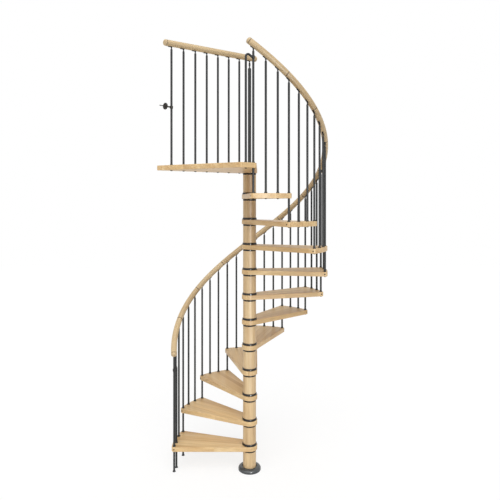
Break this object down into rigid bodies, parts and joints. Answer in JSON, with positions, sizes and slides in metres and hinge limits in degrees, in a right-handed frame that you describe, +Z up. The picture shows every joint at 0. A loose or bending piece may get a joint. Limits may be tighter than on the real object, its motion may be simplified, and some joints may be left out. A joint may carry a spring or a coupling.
{
  "type": "spiral staircase",
  "caption": "Spiral staircase with wooden treads round a sleeved central pole, steel balusters, a round helical handrail and a railed landing.",
  "frame": {"origin": "the pole's axis at floor level, on the underside of the base plate", "axes": "+Z up along the pole; the stair starts at about -X, climbs clockwise seen from above by way of +Y and +X, and its landing points to -X and -Y"},
  "size_m": [1.4715, 1.4762, 3.75],
  "materials": {
    "tread_wood": "satin",
    "sleeve_wood": "satin",
    "rail_wood": "satin",
    "baluster_grey": "semi-gloss",
    "collar_black": "gloss",
    "rod_steel": "satin",
    "screw_steel": "satin"
  },
  "bodies": {
    "root": {"base_plate": "collar_black", "tie_rod": "rod_steel", "pole_sleeves": "sleeve_wood", "top_collars": "collar_black", "low_collars": "collar_black", "tread_01": "tread_wood", "tread_02": "tread_wood", "tread_03": "tread_wood", "tread_04": "tread_wood", "tread_05": "tread_wood", "tread_06": "tread_wood", "tread_07": "tread_wood", "tread_08": "tread_wood", "tread_09": "tread_wood", "tread_10": "tread_wood", "tread_11": "tread_wood", "landing": "tread_wood", "corner_balusters": "baluster_grey", "tread_balusters": "baluster_grey", "landing_balusters": "baluster_grey", "baluster_cones": "baluster_grey", "cap_nuts": "baluster_grey", "edge_screws": "screw_steel", "stair_rail_brackets": "baluster_grey", "landing_rail_brackets": "baluster_grey", "handrail_01": "rail_wood", "handrail_02": "rail_wood", "handrail_03": "rail_wood", "handrail_04": "rail_wood", "handrail_05": "rail_wood", "handrail_06": "rail_wood", "handrail_07": "rail_wood", "handrail_08": "rail_wood", "handrail_09": "rail_wood", "handrail_10": "rail_wood", "handrail_11": "rail_wood", "landing_handrail": "rail_wood", "handrail_caps": "rail_wood", "landing_post": "baluster_grey", "start_hoop": "baluster_grey", "landing_hoop": "baluster_grey", "hoop_ties": "baluster_grey", "floor_legs": "baluster_grey", "wall_bracket": "baluster_grey", "wall_screw": "screw_steel"}
  },
  "joints": []
}
